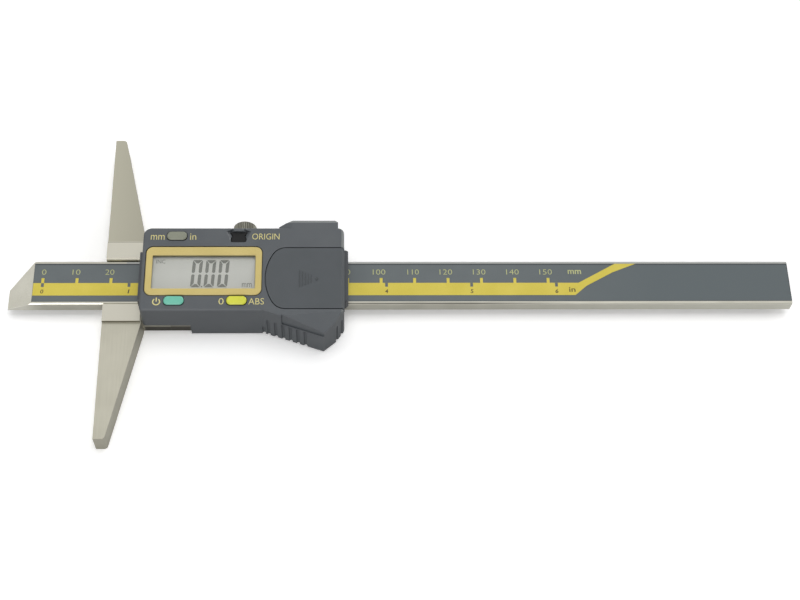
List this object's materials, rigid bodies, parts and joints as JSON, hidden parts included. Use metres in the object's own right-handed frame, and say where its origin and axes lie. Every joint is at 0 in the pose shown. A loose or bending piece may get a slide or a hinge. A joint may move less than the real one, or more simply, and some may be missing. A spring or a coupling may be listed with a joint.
{
  "type": "digital depth caliper",
  "caption": "Digital depth caliper: a graduated beam with a ground tip slides through a steel base and a display housing with keys, a lock screw and a battery cover",
  "frame": {"origin": "the foot of the base's measuring face, on the centre line of the beam, level with the base's underside", "axes": "+X runs along the beam to its tail, so the measuring face and the tip look along -X; +Y runs along the base to the lock screw's side; +Z leaves the display"},
  "size_m": [0.233, 0.1, 0.0159],
  "materials": {
    "beam_steel": "ground stainless steel, satin along the beam",
    "base_steel": "hardened stainless steel, fine ground",
    "screw_steel": "blackened or plain steel screws",
    "gib_brass": "plain phosphor bronze strip",
    "spring_brass": "nickelled spring contacts and snap domes",
    "board": "green glass-filled epoxy board",
    "scale_film": "grey printed film, satin",
    "scale_yellow": "yellow print",
    "housing_abs": "dark grey ABS, fine texture",
    "cover_abs": "darker grey ABS, fine texture",
    "collar_abs": "charcoal plastic, satin",
    "bezel_yellow": "pale yellow plastic, satin gloss",
    "window_clear": "clear acrylic",
    "lcd_glass": "grey-green liquid crystal panel",
    "strip_rubber": "pink silicone strips",
    "cell_can": "nickel-plated cell can",
    "key_grey": "grey-green key",
    "key_black": "black key",
    "key_teal": "teal key",
    "key_yellow": "yellow key",
    "knob_steel": "straight-knurled steel"
  },
  "bodies": {
    "slider": {"base": "base_steel", "base_screws": "screw_steel", "slider_frame": "base_steel", "gib_strip": "gib_brass", "gib_screws": "screw_steel", "retaining_plate": "beam_steel", "sensor_board": "board", "circuit_board": "board", "key_domes": "spring_brass", "lcd_panel": "lcd_glass", "contact_strips": "strip_rubber", "display_window": "window_clear", "bezel": "bezel_yellow", "housing": "housing_abs", "housing_screws": "screw_steel", "front_collar": "collar_abs", "rear_collar": "collar_abs", "button_cell": "cell_can", "negative_contact": "spring_brass", "positive_contact": "spring_brass", "port_socket": "collar_abs"},
    "beam": {"beam": "beam_steel", "scale_board": "board", "scale_cover": "scale_film", "scale_stripe": "scale_yellow", "stop_plate": "beam_steel", "stop_screws": "screw_steel"},
    "lock": {"lock_screw": "knob_steel"},
    "unit_button": {"unit_key": "key_grey"},
    "origin_button": {"origin_key": "key_black"},
    "power_button": {"power_key": "key_teal"},
    "zero_button": {"zero_key": "key_yellow"},
    "battery_door": {"battery_cover": "cover_abs"},
    "port_door": {"port_cover": "collar_abs"}
  },
  "joints": [
    {"name": "beam_slide", "type": "slide", "parent": "slider", "child": "beam", "axis": [-1, 0, 0], "range_m": [-0.0284, 0.1216]},
    {"name": "lock_turn", "type": "hinge", "parent": "slider", "child": "lock", "pos_m": [0.0407, 0.0146, 0.0053], "axis": [0, 1, 0], "range_deg": [0, 360]},
    {"name": "unit_press", "type": "slide", "parent": "slider", "child": "unit_button", "axis": [0, 0, -1], "range_m": [0, 0.0006], "stiffness_N_per_m": 500, "springref_m": -0.001},
    {"name": "origin_press", "type": "slide", "parent": "slider", "child": "origin_button", "axis": [0, 0, -1], "range_m": [0, 0.0006], "stiffness_N_per_m": 500, "springref_m": -0.001},
    {"name": "power_press", "type": "slide", "parent": "slider", "child": "power_button", "axis": [0, 0, -1], "range_m": [0, 0.0006], "stiffness_N_per_m": 500, "springref_m": -0.001},
    {"name": "zero_press", "type": "slide", "parent": "slider", "child": "zero_button", "axis": [0, 0, -1], "range_m": [0, 0.0006], "stiffness_N_per_m": 500, "springref_m": -0.001},
    {"name": "battery_cover_slide", "type": "slide", "parent": "slider", "child": "battery_door", "axis": [1, 0, 0], "range_m": [0, 0.024]},
    {"name": "port_cover_pull", "type": "slide", "parent": "slider", "child": "port_door", "axis": [0, 1, 0], "range_m": [0, 0.008]}
  ]
}
